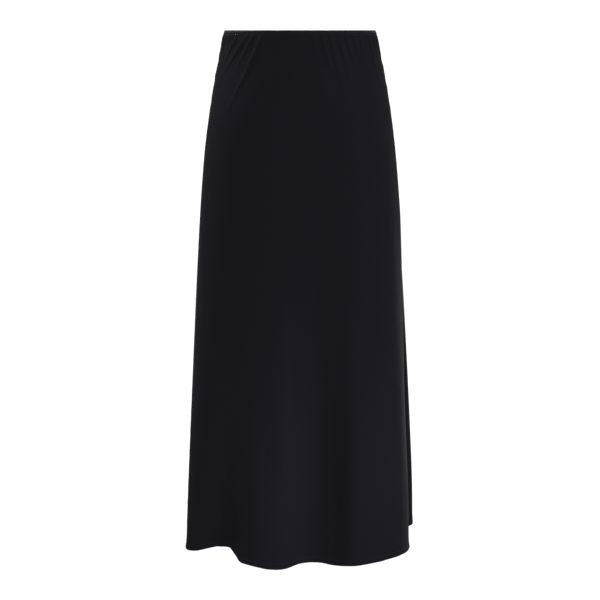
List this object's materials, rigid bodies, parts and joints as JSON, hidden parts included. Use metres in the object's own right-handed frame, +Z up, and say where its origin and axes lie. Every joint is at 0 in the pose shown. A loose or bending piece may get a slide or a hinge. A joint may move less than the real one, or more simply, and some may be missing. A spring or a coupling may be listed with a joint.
{
  "type": "midi skirt",
  "caption": "Black midi skirt in its worn shape: bias-cut front and back panels gathered under a thin rolled elastic waist, with soft flutes and a narrow turned hem.",
  "frame": {"origin": "middle of the waist opening, level with the top of the waist edge", "axes": "+Z up the wearer's trunk, -Y out of the front of the skirt, +X to the right as seen from the front"},
  "size_m": [0.385, 0.3028, 0.8628],
  "materials": {
    "crepe": "black satin-backed crepe, soft low sheen at the edges",
    "elastic": "matt black ribbed woven elastic"
  },
  "bodies": {
    "root": {"front_panel": "crepe", "back_panel": "crepe", "waist_edge": "crepe", "waist_elastic": "elastic"}
  },
  "joints": []
}
